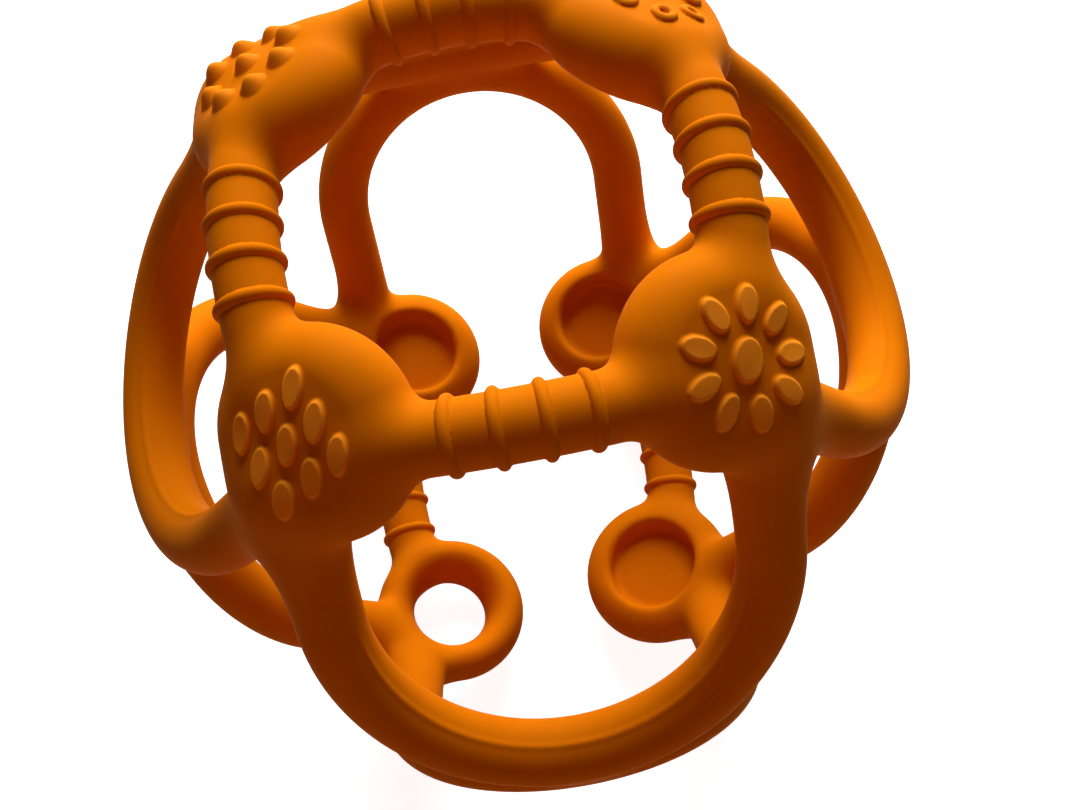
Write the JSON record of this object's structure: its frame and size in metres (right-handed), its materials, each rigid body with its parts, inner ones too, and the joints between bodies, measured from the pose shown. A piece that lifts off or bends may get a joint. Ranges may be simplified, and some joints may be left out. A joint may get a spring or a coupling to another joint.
{
  "type": "teething ball",
  "caption": "Open silicone teething ball: textured discs at its corners joined by ribbed bars and smooth arcs that bend when the ball is squeezed, with a strap hole in one disc.",
  "frame": {"origin": "middle of the ball, in the plane where the upper and lower arcs meet", "axes": "+Z from the open lower ring to the closed upper ring, Y along the two lower bars, X across them"},
  "size_m": [0.1016, 0.1076, 0.0904],
  "materials": {
    "silicone": "satin"
  },
  "bodies": {
    "bottom_ring": {"lower_disc_far_left": "silicone", "lower_disc_far_right": "silicone", "lower_disc_loop": "silicone", "lower_disc_near_right": "silicone", "lower_bar_left": "silicone", "lower_bar_right": "silicone", "lower_arc_near": "silicone", "lower_arc_far": "silicone", "lower_arc_left": "silicone", "lower_arc_right": "silicone"},
    "top_ring": {"disc_ovals": "silicone", "disc_flower": "silicone", "disc_knobs": "silicone", "disc_rings": "silicone", "upper_bar_near": "silicone", "upper_bar_far": "silicone", "upper_bar_left": "silicone", "upper_bar_right": "silicone", "upper_arc_near": "silicone", "upper_arc_far": "silicone", "upper_arc_left": "silicone", "upper_arc_right": "silicone"}
  },
  "joints": [
    {"name": "squeeze", "type": "slide", "parent": "bottom_ring", "child": "top_ring", "axis": [0, 0, 1], "range_m": [-0.012, 0], "stiffness_N_per_m": 550, "deforming": ["upper_arc_near", "upper_arc_far", "upper_arc_left", "upper_arc_right", "lower_arc_near", "lower_arc_far", "lower_arc_left", "lower_arc_right"]}
  ]
}
